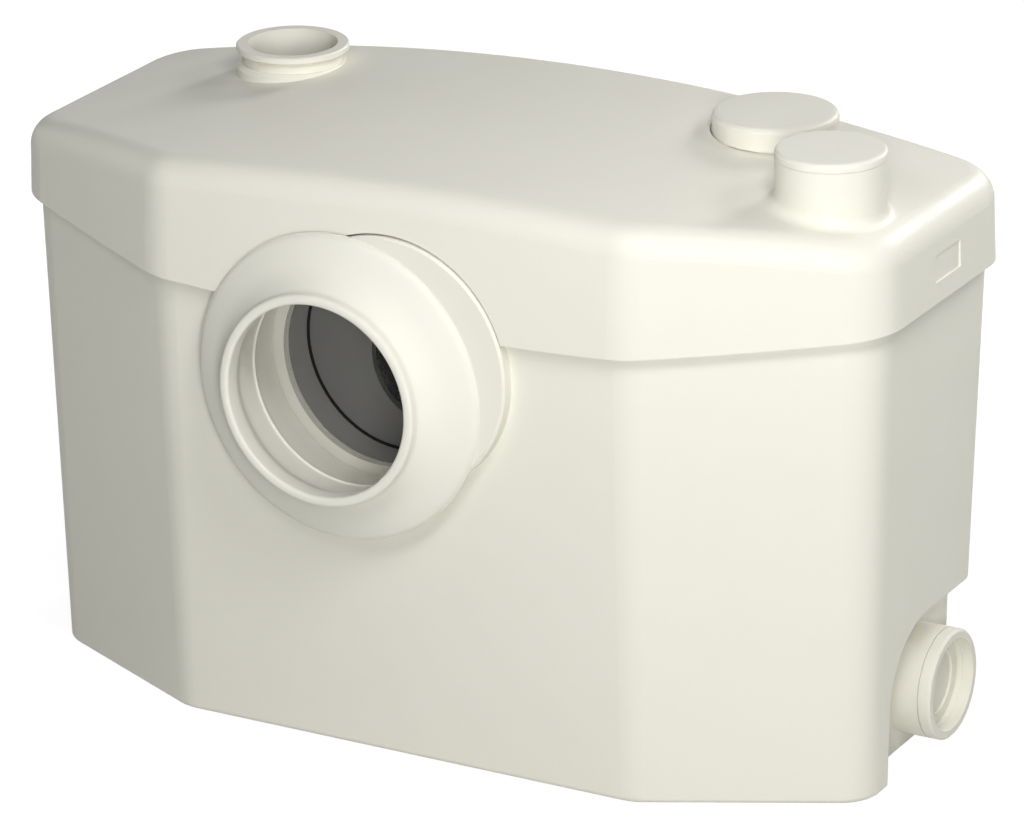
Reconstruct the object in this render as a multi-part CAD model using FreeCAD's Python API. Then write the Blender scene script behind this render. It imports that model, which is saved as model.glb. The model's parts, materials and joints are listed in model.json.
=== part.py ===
import FreeCAD, Part
import math
import os

# Macerator pump unit that stands behind a toilet: ivory tank and crowned lid, a flared
# rubber inlet collar, two top sockets, a vent, a low side socket, and the pump inside.
# Millimetres. X to the right, Y towards the wall, Z up. The origin is the centre of the base.

V = FreeCAD.Vector
X = V(1, 0, 0)
Y = V(0, 1, 0)
Z = V(0, 0, 1)

# Tank: plan corners at the base, walls and drafts
tank_half_width = 206.0
tank_depth = 151.5
front_left_x = -112.0
front_right_x = 114.8
shoulder_left_y = -30.8
shoulder_right_y = -30.0
front_corner_r = 22.0
left_shoulder_r = 19.0
right_shoulder_r = 19.0
back_corner_r = 16.0
tank_wall = 3.0
tank_floor = 3.5
side_draft = 0.022
back_draft = 0.062
base_edge_r = 2.5

# Lid: bowed lower edge, skirt and crowned top
edge_low_z = 204.3
edge_low_x = 7.5
edge_bow_r = 1690.0
rim_rise = 14.0
seal_height = 3.0
seal_clear = 0.3
land_height = 3.0
lid_overhang = 5.4
lid_gap = 0.8
lid_wall = 3.0
lid_draft = 0.031
lid_edge_r = 12.8
crown_front_x = 25.0
crown_front_z = 267.0
crown_front_r = 1750.0
crown_back_x = 12.4
crown_back_z = 275.1
crown_back_r = 1018.0
crown_margin = 14.25
crown_reach = 20.0

# Bare label recess on the lid's right face
label_y = 26.0
label_z = 232.6
label_length = 24.6
label_height = 12.2
label_depth = 0.8

# Inlet: collar axis, moulded boss and the rings behind the mouth
inlet_x = -21.3
inlet_z = 172.9
boss_x = 2.9
boss_z = 186.9
boss_r = 58.0
boss_ring_r = 65.2
boss_thick = 8.2
boss_gap = 0.8
boss_edge = 1.1
flange_clear = 0.6
sleeve_r = 57.2
sleeve_length = 34.145
sleeve_fit = 0.3
inlet_tube_wall = 3.5
inlet_tube_back = 6.0
flange_r = 70.0
flange_rim = 1.4
flange_round = 5.0
mouth_length = 20.4
mouth_outer_r = 48.2
mouth_bore_r = 43.6
mouth_lip = 6.0
mouth_neck = 3.6
mouth_edge = 1.4
cone_sag = 0.9
ring_bore_r = 48.0
ring_thick = 3.7
band_bore_r = 47.6
band_wall = 4.4
band_length = 15.4
band_seal_thick = 1.0
band_seal_bore_r = 46.6

# Cutter chamber and pump, all on the shaft axis
shaft_x = -5.6
shaft_z = 169.4
plate_thick = 3.5
plate_hole_r = 30.7
plate_margin = 6.0
basket_r = 46.0
basket_wall = 2.5
basket_length = 22.0
basket_slots = 18
slot_width = 5.0
slot_length = 14.0
pump_wall = 2.4
intake_depth = 6.0
divider = 2.0
eye_r = 12.0
volute_depth = 12.0
volute_r = 36.0
volute_shift = 2.0
pump_back = 3.0
duct_width = 29.2
duct_window_height = 9.0
outlet_drop = 26.0
outlet_bore_r = 5.0
outlet_wall = 3.0
outlet_shift = 0.3
outlet_reach = 57.0
pipe_overlap = 5.0
impeller_r = 32.0
impeller_hub_r = 9.0
impeller_gap = 1.0
impeller_plate = 2.5
vane_count = 6
vane_thick = 2.4
vane_lean = 35.0
blade_r = 38.0
blade_thick = 3.0
blade_hub_r = 11.0
blade_root = 11.0
blade_tip = 7.0
blade_from_back = 8.6
nut_flats = 13.0
nut_height = 4.5
shaft_nose_r = 5.0
shaft_r = 6.0
shaft_end_past_nut = 2.5
shaft_end_gap = 0.5
fit_gap = 0.05
running_gap = 0.04

# Motor
motor_r = 54.0
motor_front = 6.0
motor_wall_gap = 5.0
motor_back = 5.0
can_wall = 3.0
can_rib_count = 12
can_rib_width = 3.0
can_rib_height = 1.6
bearing_front_r = 16.0
bearing_rear_r = 14.0
bearing_width = 8.0
bearing_seat_wall = 4.0
rotor_r = 28.4
air_gap = 0.6
core_from_front = 11.0
core_from_back = 12.0
winding_in_gap = 4.0
winding_out_gap = 4.0
winding_length = 5.0
seal_r = 11.0
cradle_half = 30.0
cradle_from_front = 12.0
cradle_from_back = 8.0
cradle_top = 26.0
cradle_wall = 6.0
cradle_gap = 0.2
pad_r = 6.0
pad_height = 4.0
screw_r = 2.0
screw_head_r = 3.8
screw_head = 2.4

# Outlet: pipe, non-return valve and the lid's open socket
socket_from_left = 83.6
socket_from_back = 26.05
socket_top_z = 276.3
socket_bore_r = 20.4
socket_wall = 1.9
socket_rim_r = 25.6
socket_rim = 3.2
socket_rim_edge = 0.6
socket_base_r = 25.5
socket_base_top_z = 268.0
socket_base_low_z = 258.5
socket_base_edge = 1.9
socket_skirt_z = 238.0
spigot_cup_r = 21.2
spigot_cup_wall = 2.0
spigot_cup_top_z = 249.0
pipe_r = 10.5
pipe_wall = 2.5
pipe_bend_r = 17.0
valve_z = 180.0
valve_r = 21.0
valve_wall = 3.0
valve_seat = 8.0
valve_seat_hole_r = 8.5
valve_top_z = 232.0
spigot_r = 20.0
spigot_wall = 3.0
spigot_top_z = 248.0
oring = 2.2
oring_gap = 0.1
flap_r = 11.5
flap_thick = 2.4
flap_gap = 0.2
flap_pin_back = 13.8
flap_pin_up = 3.5
flap_pin_r = 1.5
flap_knuckle_r = 2.8
flap_knuckle_half = 5.0
flap_pin_half = 11.0
flap_arm_half = 4.0

# Blanked stub with its cap, and the vent
stub_from_right = 30.3
stub_y = -7.0
stub_r = 23.9
stub_bore_r = 20.4
stub_rise = 22.2
stub_length = 33.6
stub_flare = 5.0
cap_thick = 4.0
cap_edge_r = 1.8
cap_overhang = 0.1
plug_gap = 0.3
plug_wall = 2.6
cap_plug_depth = 12.0
seal_groove = 1.5
cap_gap = 0.2
vent_from_right = 86.5
vent_from_back = 22.95
vent_pad_r = 26.2
vent_pad_z = 267.7
vent_seat_r = 28.6
vent_well_r = 24.0
vent_well_floor_z = 256.4
vent_well_wall = 2.0
vent_hole_r = 2.6
vent_hole_count = 7
vent_hole_ring_r = 15.0
vent_cap_r = 27.8
vent_cap_gap = 0.5
vent_cap_side = 10.2
vent_cap_dome = 1.0
vent_cap_edge_r = 2.6
vent_cap_wall = 2.0
vent_rib_gap = 0.3
vent_stem_r = 4.0
vent_stem_gap = 0.5
filter_gap = 0.3
filter_height = 9.0

# Low side socket in its recess at the right rear
recess_depth = 14.1
recess_from_back = 86.45
recess_top_z = 70.9
recess_r = 36.0
side_from_back = 30.15
side_z = 28.2
side_r = 25.0
side_bore_r = 20.4
side_stub_sunk = 1.1
side_groove = 0.6
side_groove_depth = 0.9
side_ring_length = 5.2
side_ring_bore_r = 20.9
side_ring_edge = 1.1
side_plug_sunk = 2.0
side_plug_face = 3.5
side_plug_depth = 11.5
side_plug_dish_r = 15.5
side_plug_dish = 1.2
side_flap_r = 23.0
side_flap_thick = 2.4
side_flap_gap = 0.4
side_pin_up = 26.0
side_pin_half = 13.0
side_knuckle_half = 8.0
side_ear_gap = 0.5
side_ear = 3.5
side_ear_half = 3.2

# Level sensing: air tube, diaphragm and microswitch
sense_x = 100.0
sense_from_front = 55.75
sense_r = 25.0
sense_wall = 3.0
sense_foot = 8.5
sense_height = 104.0
sense_flange_r = 31.0
sense_flange = 4.0
diaphragm_thick = 2.0
switch_cup = 34.0
switch_cup_wall = 3.0
plunger_r = 18.0
plunger_thick = 2.0
plunger_gap = 0.3
stem_r = 3.5
stem_height = 12.0
stem_tip_r = 1.5
stem_tip = 2.0
lever_thick = 0.8
lever_width = 5.0
lever_reach = 12.0
lever_pivot_x = 8.0
lever_drop = 1.8
switch_length = 20.0
switch_width = 9.0
switch_clear = 5.7
cover_thick = 3.0

# Electrical parts
capacitor_x = 80.0
capacitor_from_back = 27.75
capacitor_r = 16.0
capacitor_height = 58.0
holder_wall = 2.4
holder_height = 16.0
holder_floor = 2.0
gland_from_back = 35.75
gland_z = 185.0
gland_r = 10.0
gland_hex = 11.5
gland_length = 12.0
gland_nut = 5.0
gland_thread_r = 8.0
gland_bore_r = 3.6
gland_grip = 10.0
gland_passage_r = 5.0
gland_pad_r = 14.0
gland_pad_out = 4.9
gland_pad_in = 0.4

# Values worked out from the ones above
front_y = -tank_depth / 2
back_y = tank_depth / 2
lid_side_offset = side_draft * edge_low_z + lid_overhang
lid_back_offset = back_draft * edge_low_z + lid_overhang
boss_front_y = front_y - lid_side_offset - flange_clear
mouth_y = boss_front_y - mouth_length
sleeve_end_y = boss_front_y + sleeve_length
ring_y = sleeve_end_y
band_y = ring_y + ring_thick
band_seal_y = band_y + band_length
plate_y = band_seal_y + band_seal_thick
basket_y = plate_y + plate_thick
pump_y = basket_y + basket_length
intake_y = pump_y + pump_wall
divider_y = intake_y + intake_depth
volute_y = divider_y + divider
pump_back_y = volute_y + volute_depth
outlet_y = volute_y + volute_depth / 2 + outlet_shift
motor_y = pump_back_y + pump_back
can_y = motor_y + motor_front
motor_room_y = back_y + back_draft * (shaft_z - motor_r) - tank_wall
can_end_y = motor_room_y - motor_wall_gap - motor_back
motor_length = can_end_y - can_y
core_length = motor_length - core_from_front - core_from_back
winding_r_in = rotor_r + air_gap + winding_in_gap
winding_r_out = motor_r - can_wall - winding_out_gap
cradle_width = motor_length - cradle_from_front - cradle_from_back
motor_end_y = can_end_y + motor_back
blade_y = pump_y - blade_from_back - blade_thick
nut_y = blade_y - nut_height
rim_z = edge_low_z + rim_rise
crown_front_y = front_y - crown_margin
crown_back_y = back_y + crown_margin
socket_x = -tank_half_width + socket_from_left
socket_y = back_y - socket_from_back
stub_x = tank_half_width - stub_from_right
vent_x = tank_half_width - vent_from_right
vent_y = back_y - vent_from_back
recess_x = tank_half_width - recess_depth
recess_front_y = back_y - recess_from_back
side_y = back_y - side_from_back
side_stub_end_x = tank_half_width - side_stub_sunk
side_plug_face_x = side_stub_end_x - side_plug_sunk
sense_y = front_y + sense_from_front
capacitor_y = back_y - capacitor_from_back
gland_y = back_y - gland_from_back
sense_top_z = tank_floor + sense_foot + sense_height
switch_z = sense_top_z + diaphragm_thick
plunger_z = switch_z + plunger_gap
stem_top_z = plunger_z + plunger_thick + stem_height + stem_tip
lever_z = stem_top_z + plunger_gap
pivot_z = lever_z + lever_thick + lever_drop
switch_body_z = lever_z + switch_clear
cover_z = switch_z + switch_cup
side_ring_x = side_stub_end_x + side_groove
flap_z = valve_z + valve_seat + flap_gap
flap_pin_z = valve_z + valve_seat + flap_pin_up
far = 400.0
edge_steps = 3


def cylinder(radius, length, start, axis):
    return Part.makeCylinder(radius, length, start, axis)


def tube(outer_r, inner_r, length, start, axis):
    return cylinder(outer_r, length, start, axis).cut(cylinder(inner_r, length, start, axis))


def block(x0, x1, y0, y1, z0, z1):
    return Part.makeBox(x1 - x0, y1 - y0, z1 - z0, V(x0, y0, z0))


def fuse_all(shapes):
    joined = shapes[0].fuse(shapes[1:])
    return joined.removeSplitter()


def round_corner(radius, height, round_r):
    """Points of a rounded outer corner, from the side to the top, in short straight steps."""
    points = []
    for step in range(edge_steps + 1):
        turn = math.pi / 2 * step / edge_steps
        points.append(V(radius - round_r * (1 - math.cos(turn)), 0,
                        height - round_r * (1 - math.sin(turn))))
    return points


def turned(points):
    """Solid turned about Z from a closed outline in the XZ plane."""
    return polygon_face(points).revolve(V(0, 0, 0), Z, 360)


def polygon_face(points):
    return Part.Face(Part.makePolygon(points + [points[0]]))


def plan_wire(side_offset, back_offset, z):
    """Tank outline at height z with its sides and its back moved outwards, corners rounded."""
    corners = [
        (-tank_half_width, back_y, back_corner_r, back_offset),
        (-tank_half_width, shoulder_left_y, left_shoulder_r, side_offset),
        (front_left_x, front_y, front_corner_r, side_offset),
        (front_right_x, front_y, front_corner_r, side_offset),
        (tank_half_width, shoulder_right_y, right_shoulder_r, side_offset),
        (tank_half_width, back_y, back_corner_r, side_offset),
    ]
    count = len(corners)
    lines = []
    for i in range(count):
        x0, y0 = corners[i][:2]
        x1, y1 = corners[(i + 1) % count][:2]
        run = V(x1 - x0, y1 - y0, 0).normalize()
        out = V(run.y, -run.x, 0)
        move = back_offset if i == count - 1 else side_offset
        lines.append((V(x0, y0, z) + out * move, run))
    edges = []
    joints = []
    for i in range(count):
        p, u = lines[i - 1]
        q, v = lines[i]
        cross = u.x * v.y - u.y * v.x
        t = ((q.x - p.x) * v.y - (q.y - p.y) * v.x) / cross
        corner = p + u * t
        radius = max(corners[i][2] + side_offset, 1.0)
        turn = math.atan2(cross, u.x * v.x + u.y * v.y)
        reach = radius * math.tan(turn / 2)
        a = corner - u * reach
        b = corner + v * reach
        centre = a + V(-u.y, u.x, 0) * radius
        middle = centre + (corner - centre).normalize() * radius
        joints.append((a, middle, b))
    for i in range(count):
        a, middle, b = joints[i]
        edges.append(Part.Arc(a, middle, b).toShape())
        edges.append(Part.LineSegment(b, joints[(i + 1) % count][0]).toShape())
    return Part.Wire(edges)


def drafted(z0, z1, side_at, back_at):
    """Solid between two heights whose outline offsets come from two functions of height."""
    low = plan_wire(side_at(z0), back_at(z0), z0)
    high = plan_wire(side_at(z1), back_at(z1), z1)
    return Part.makeLoft([low, high], True, True)


def tank_side(z):
    return side_draft * z


def tank_back(z):
    return back_draft * z


def lid_side(z):
    return lid_side_offset - lid_draft * (z - edge_low_z)


def lid_back(z):
    return lid_back_offset - lid_draft * (z - edge_low_z)


def inset(function, amount):
    return lambda z: function(z) - amount


def arc_profile(apex_x, apex_z, radius, upward, y, z_flat):
    """Closed wire in an XZ plane: a long arc, bowed up or down, closed by a flat at z_flat."""
    half = tank_half_width * 1.3
    sign = -1 if upward else 1

    def height(x):
        return apex_z + sign * (radius - math.sqrt(radius ** 2 - (x - apex_x) ** 2))

    a = V(-half, y, height(-half))
    b = V(half, y, height(half))
    c = V(half, y, z_flat)
    d = V(-half, y, z_flat)
    arc = Part.Arc(a, V(apex_x, y, apex_z), b).toShape()
    sides = [Part.LineSegment(p, q).toShape() for p, q in ((b, c), (c, d), (d, a))]
    return Part.Wire([arc] + sides)


def above_edge(rise):
    """Everything above the lid's bowed lower edge, raised by rise."""
    wire = arc_profile(edge_low_x, edge_low_z + rise, edge_bow_r, False, -far / 2, far)
    return Part.Face(wire).extrude(Y * far)


def crown_arc(y):
    """Apex x, apex height and radius of the crown in the plane y, between its two sections."""
    share = (y - crown_front_y) / (crown_back_y - crown_front_y)
    bend = 1 / crown_front_r + (1 / crown_back_r - 1 / crown_front_r) * share
    return (crown_front_x + (crown_back_x - crown_front_x) * share,
            crown_front_z + (crown_back_z - crown_front_z) * share, 1 / bend)


def crown_height(x, y):
    apex_x, apex_z, radius = crown_arc(y)
    return apex_z - radius + math.sqrt(radius ** 2 - (x - apex_x) ** 2)


def crown_section(y, drop):
    apex_x, apex_z, radius = crown_arc(y)
    return arc_profile(apex_x, apex_z - drop, radius, True, y, 0)


def under_crown(drop):
    """Everything under the crowned top, lowered by drop."""
    return Part.makeLoft([crown_section(crown_front_y - crown_reach, drop),
                          crown_section(crown_back_y + crown_reach, drop)], True, True)


stub_top_z = crown_height(stub_x, stub_y) + stub_rise
stub_bottom_z = stub_top_z - stub_length


def inlet_centre(y):
    return V(inlet_x, y, inlet_z)


def boss_centre(y):
    return V(boss_x, y, boss_z)


def boss_outline(grow, y0, length):
    ring = cylinder(boss_ring_r + grow, length, inlet_centre(y0), Y)
    disc = cylinder(boss_r + grow, length, boss_centre(y0), Y)
    return ring.fuse(disc)


def recess_block(grow):
    """The space left free round the side socket, with its large rounded corner."""
    x0 = recess_x - grow
    y0 = recess_front_y - grow
    z1 = recess_top_z + grow
    radius = recess_r + grow
    centre = V(x0, y0 + radius, z1 - radius)
    start = V(x0, y0, z1 - radius)
    middle = centre + V(0, -math.sqrt(0.5), math.sqrt(0.5)) * radius
    end = V(x0, y0 + radius, z1)
    points = [end, V(x0, far / 2, z1), V(x0, far / 2, -far / 10), V(x0, y0, -far / 10), start]
    edges = [Part.Arc(start, middle, end).toShape()]
    for p, q in zip(points[:-1], points[1:]):
        edges.append(Part.LineSegment(p, q).toShape())
    return Part.Face(Part.Wire(edges)).extrude(X * far)


def hinge_ears(pin, half_inner, thick, reach_x0, reach_x1, z0, z1):
    """Two ears either side of a knuckle whose pin lies along Y."""
    ears = []
    for sign in (-1, 1):
        y0 = pin.y + sign * half_inner
        y1 = y0 + sign * thick
        ear = block(reach_x0, reach_x1, min(y0, y1), max(y0, y1), z0, z1)
        ears.append(ear)
    hole = cylinder(flap_pin_r + running_gap, far, pin - Y * (far / 2), Y)
    return [ear.cut(hole) for ear in ears]


side_pin = V(recess_x - tank_wall - side_flap_gap - flap_knuckle_r, side_y, side_z + side_pin_up)


def make_tank():
    outer = drafted(0, rim_z + 25, tank_side, tank_back)
    base = [e for e in outer.Edges if e.BoundBox.ZMax < 0.01]
    outer = outer.makeFillet(base_edge_r, base)
    outer = outer.cut(above_edge(rim_rise)).cut(recess_block(0))
    hollow = drafted(tank_floor, rim_z + 30, inset(tank_side, tank_wall), inset(tank_back, tank_wall))
    hollow = hollow.cut(recess_block(tank_wall))
    shell = outer.cut(hollow)
    boss = boss_outline(0, boss_front_y + boss_edge, boss_thick - boss_edge)
    bevels = [Part.makeCone(radius - boss_edge, radius, boss_edge, centre(boss_front_y), Y)
              for radius, centre in ((boss_ring_r, inlet_centre), (boss_r, boss_centre))]
    socket_r = sleeve_r + sleeve_fit
    tube_start = boss_front_y + boss_thick
    tube_length = ring_y + ring_thick - tube_start + inlet_tube_back - ring_thick
    outer_tube = cylinder(socket_r + inlet_tube_wall, tube_length, inlet_centre(tube_start), Y)
    side_stub = cylinder(side_r, side_stub_end_x - recess_x, V(recess_x, side_y, side_z), X)
    neck = cylinder(side_r - side_groove_depth, side_groove, V(side_stub_end_x, side_y, side_z), X)
    ears = hinge_ears(side_pin, side_knuckle_half + side_ear_gap, side_ear,
                      side_pin.x - flap_knuckle_r, recess_x - tank_wall,
                      side_pin.z - side_ear_half, side_pin.z + side_ear_half)
    gland_pad = cylinder(gland_pad_r, gland_pad_out - gland_pad_in,
                         V(-tank_half_width - gland_pad_out, gland_y, gland_z), X)
    tank = fuse_all([shell, boss, outer_tube, side_stub, neck, gland_pad] + bevels + ears)
    bore = cylinder(socket_r, boss_thick + tube_length + 1, inlet_centre(boss_front_y - 1), Y)
    side_bore = cylinder(side_bore_r, far, V(recess_x - tank_wall - 1, side_y, side_z), X)
    gland_hole = cylinder(gland_thread_r + fit_gap, 20,
                          V(-tank_half_width - 15, gland_y, gland_z), X)
    return tank.cut([bore, side_bore, gland_hole])


def level_edges(shape, z_min):
    """Top edges of a crowned block: those that lie wholly above z_min."""
    return [e for e in shape.Edges if e.BoundBox.ZMin > z_min]


def crowned(side_at, back_at, drop, edge_r):
    body = drafted(edge_low_z - 15, crown_back_z + 10, side_at, back_at).common(under_crown(drop))
    return body.makeFillet(edge_r, level_edges(body, edge_low_z + 15))


def flared(body, x, y, radius, flare):
    """Round the outer foot of an upright cylinder that stands on the crown."""
    foot = []
    for edge in body.Edges:
        middle = edge.valueAt((edge.FirstParameter + edge.LastParameter) / 2)
        away = V(middle.x - x, middle.y - y, 0)
        if abs(away.Length - radius) > 0.1 or edge.BoundBox.ZLength < 0.5:
            continue
        beside_foot = middle + away.normalize() * 0.5 - Z * (lid_wall / 2)
        if edge.BoundBox.ZMax < stub_top_z - 1 and body.isInside(beside_foot, 0.01, False):
            foot.append(edge)
    return body.makeFillet(flare, foot)


def make_lid():
    outer = crowned(lid_side, lid_back, 0, lid_edge_r)
    inner = crowned(inset(lid_side, lid_wall), inset(lid_back, lid_wall), lid_wall,
                    lid_edge_r - lid_wall)
    skirt_room = drafted(edge_low_z - 20, rim_z + 40, inset(tank_side, -lid_gap),
                         inset(tank_back, -lid_gap))
    skirt_room = skirt_room.cut(above_edge(rim_rise + seal_height))
    land = drafted(edge_low_z, rim_z + 35, inset(lid_side, lid_wall - 0.5),
                   inset(lid_back, lid_wall - 0.5))
    land = land.cut(drafted(edge_low_z - 1, rim_z + 36, inset(tank_side, tank_wall),
                            inset(tank_back, tank_wall)))
    land = land.common(above_edge(rim_rise + seal_height))
    land = land.cut(above_edge(rim_rise + seal_height + land_height))
    shell = outer.cut(inner).common(above_edge(0))
    shell = shell.fuse(land).cut(skirt_room)
    shell = shell.cut(boss_outline(boss_gap, boss_front_y - 5, 25))
    shell = shell.cut(boss_outline(boss_gap, boss_front_y - 5, 25).translated(Z * -30))
    neck_r = socket_bore_r + socket_wall
    low = V(socket_x, socket_y, socket_skirt_z)
    adds = [
        cylinder(neck_r, socket_top_z - socket_skirt_z, low, Z),
        cylinder(spigot_cup_r + spigot_cup_wall, spigot_cup_top_z + spigot_cup_wall - socket_skirt_z,
                 low, Z),
        cylinder(vent_pad_r, vent_pad_z - vent_well_floor_z + vent_well_wall,
                 V(vent_x, vent_y, vent_well_floor_z - vent_well_wall), Z),
    ]
    rim = cylinder(socket_rim_r, socket_rim, V(socket_x, socket_y, socket_top_z - socket_rim), Z)
    adds.append(rim.makeChamfer(socket_rim_edge, rim.Edges[:1] + rim.Edges[2:3]))
    stub = cylinder(stub_r, stub_top_z - stub_bottom_z, V(stub_x, stub_y, stub_bottom_z), Z)
    base = cylinder(socket_base_r, socket_base_top_z - socket_base_low_z,
                    V(socket_x, socket_y, socket_base_low_z), Z)
    base = base.makeChamfer(socket_base_edge, base.Edges[:1])
    shell = flared(shell.fuse(stub), stub_x, stub_y, stub_r, stub_flare).fuse(base)
    seat = cylinder(vent_seat_r, far, V(vent_x, vent_y, vent_pad_z), Z)
    lid = fuse_all([shell.cut(seat)] + adds)
    cuts = [
        cylinder(spigot_cup_r, spigot_cup_top_z - socket_skirt_z + 1, low - Z, Z),
        cylinder(socket_bore_r, far, low - Z, Z),
        cylinder(stub_bore_r, far, V(stub_x, stub_y, stub_bottom_z - 1), Z),
        cylinder(vent_well_r, far, V(vent_x, vent_y, vent_well_floor_z), Z),
        label_recess(),
    ]
    for angle in range(vent_hole_count - 1):
        turn = 2 * math.pi * angle / (vent_hole_count - 1)
        x = vent_x + vent_hole_ring_r * math.cos(turn)
        y = vent_y + vent_hole_ring_r * math.sin(turn)
        cuts.append(cylinder(vent_hole_r, far / 10, V(x, y, vent_well_floor_z - far / 20), Z))
    return lid.cut(cuts)


def label_recess():
    face_x = tank_half_width + lid_side(label_z)
    return block(face_x - label_depth, face_x + 10,
                 label_y - label_length / 2, label_y + label_length / 2,
                 label_z - label_height / 2, label_z + label_height / 2)


def make_lid_seal():
    low = edge_low_z
    high = rim_z + 35
    ring = drafted(low, high, tank_side, tank_back)
    ring = ring.cut(drafted(low, high, inset(tank_side, tank_wall), inset(tank_back, tank_wall)))
    ring = ring.common(above_edge(rim_rise + seal_clear))
    ring = ring.cut(above_edge(rim_rise + seal_height))
    return ring.cut(boss_outline(flange_clear, boss_front_y - 5, 25))


def make_inlet_collar():
    back = boss_front_y
    front = mouth_y
    bulge = V(flange_r - flange_round * 0.22, back - flange_rim - flange_round * 0.36, 0)
    cone_foot = V(flange_r - flange_round, back - flange_rim - flange_round * 0.55, 0)
    neck = V(mouth_outer_r, front + mouth_neck + mouth_edge, 0)
    sag = (cone_foot + neck) * 0.5 + V(-cone_sag, cone_sag, 0)
    points = [
        V(sleeve_r, sleeve_end_y, 0),
        V(sleeve_r, back, 0),
        V(flange_r, back, 0),
        V(flange_r, back - flange_rim, 0),
        bulge,
        cone_foot,
        sag,
        neck,
        V(mouth_outer_r, front + mouth_edge, 0),
        V(mouth_outer_r - mouth_edge * 0.3, front + mouth_edge * 0.3, 0),
        V(mouth_outer_r - mouth_edge, front, 0),
        V(mouth_bore_r + mouth_edge, front, 0),
        V(mouth_bore_r + mouth_edge * 0.3, front + mouth_edge * 0.3, 0),
        V(mouth_bore_r, front + mouth_edge, 0),
        V(mouth_bore_r, front + mouth_edge + mouth_lip, 0),
        V(mouth_bore_r + 1.9, front + 13.3, 0),
        V(mouth_bore_r + 3.6, front + 14.3, 0),
        V(mouth_bore_r + 5.6, front + 29.6, 0),
        V(mouth_bore_r + 4.6, front + 30.4, 0),
        V(mouth_bore_r + 4.6, front + 31.6, 0),
        V(mouth_bore_r + 6.9, front + 33.0, 0),
        V(mouth_bore_r + 9.3, sleeve_end_y, 0),
    ]
    return polygon_face(points).revolve(V(0, 0, 0), Y, 360).translated(inlet_centre(0))


def make_inlet_ring():
    return tube(sleeve_r, ring_bore_r, ring_thick, inlet_centre(ring_y), Y)


def make_chamber_rim():
    return tube(band_bore_r + band_wall, band_bore_r, band_length, inlet_centre(band_y), Y)


def make_inlet_seal():
    return tube(band_bore_r + band_wall, band_seal_bore_r, band_seal_thick,
                inlet_centre(band_seal_y), Y)


def shaft_centre(y):
    return V(shaft_x, y, shaft_z)


def make_chamber_plate():
    ring = cylinder(band_bore_r + band_wall + 1, plate_thick, inlet_centre(plate_y), Y)
    disc = cylinder(basket_r + plate_margin, plate_thick, shaft_centre(plate_y), Y)
    hole = cylinder(plate_hole_r, far, shaft_centre(-far / 2), Y)
    return ring.fuse(disc).removeSplitter().cut(hole)


def make_basket():
    wall = tube(basket_r, basket_r - basket_wall, basket_length, shaft_centre(basket_y), Y)
    slots = []
    middle = basket_y + basket_length / 2
    for i in range(basket_slots):
        slot = block(-slot_width / 2, slot_width / 2, middle - slot_length / 2,
                     middle + slot_length / 2, basket_r - basket_wall - 3, basket_r + 3)
        slot.rotate(V(0, 0, 0), Y, 360.0 * (i + 0.5) / basket_slots)
        slots.append(slot.translated(shaft_centre(0)))
    return wall.cut(slots)


def make_cutter_blade():
    hub = cylinder(blade_hub_r, blade_thick, V(0, blade_y, 0), Y)
    arms = []
    for turn in (0, 180):
        root = blade_root / 2
        tip = blade_tip / 2
        lead = Part.Arc(V(0, blade_y, root), V(blade_r * 0.6, blade_y, root + 3.5),
                        V(blade_r, blade_y, tip - 5)).toShape()
        end = Part.LineSegment(V(blade_r, blade_y, tip - 5),
                               V(blade_r - 1.5, blade_y, tip - 5 - blade_tip)).toShape()
        trail = Part.Arc(V(blade_r - 1.5, blade_y, tip - 5 - blade_tip),
                         V(blade_r * 0.55, blade_y, -root + 1), V(0, blade_y, -root)).toShape()
        close = Part.LineSegment(V(0, blade_y, -root), V(0, blade_y, root)).toShape()
        arm = Part.Face(Part.Wire([lead, end, trail, close])).extrude(Y * blade_thick)
        arm.rotate(V(0, 0, 0), Y, turn)
        arms.append(arm)
    blade = fuse_all([hub] + arms)
    bore = cylinder(shaft_nose_r + fit_gap, far, V(0, -far / 2, 0), Y)
    blade = blade.cut(bore)
    blade.rotate(V(0, 0, 0), Y, 25)
    return blade.translated(shaft_centre(0))


def make_cutter_nut():
    circumradius = nut_flats / 2 / math.cos(math.pi / 6)
    points = []
    for i in range(6):
        turn = math.pi / 3 * i
        points.append(V(circumradius * math.cos(turn), nut_y, circumradius * math.sin(turn)))
    nut = polygon_face(points).extrude(Y * nut_height)
    nut = nut.cut(cylinder(shaft_nose_r + fit_gap, far, V(0, -far / 2, 0), Y))
    return nut.translated(shaft_centre(0))


def make_shaft():
    nose = cylinder(shaft_nose_r, pump_back_y - nut_y + shaft_end_past_nut,
                    shaft_centre(nut_y - shaft_end_past_nut), Y)
    journal_length = can_end_y - shaft_end_gap - pump_back_y
    journal = cylinder(shaft_r, journal_length, shaft_centre(pump_back_y), Y)
    return nose.fuse(journal).removeSplitter()


def duct(half, y0, y1, z0):
    return block(shaft_x - half, shaft_x + half, y0, y1, z0, shaft_z - eye_r)


def make_pump_cover():
    body = cylinder(basket_r, pump_wall + intake_depth, shaft_centre(pump_y), Y)
    half = duct_width / 2
    leg = duct(half + pump_wall, pump_y, divider_y + divider, tank_floor)
    cover = body.fuse(leg).removeSplitter()
    cover = cover.cut(pump_body_outline())
    pocket = cylinder(basket_r - pump_wall * 2, intake_depth, shaft_centre(intake_y), Y)
    channel = duct(half, intake_y, divider_y, tank_floor - 1)
    front_window = duct(half, pump_y - 5, pump_y + 5, tank_floor - 1)
    front_window = front_window.common(block(-far, far, -far, far, 0, tank_floor + duct_window_height))
    bore = cylinder(shaft_nose_r + 0.4, far, shaft_centre(-far / 2), Y)
    return cover.cut([pocket, channel, front_window, bore])


def pump_body_outline():
    return cylinder(basket_r, divider + volute_depth + pump_back, shaft_centre(divider_y), Y)


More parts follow.
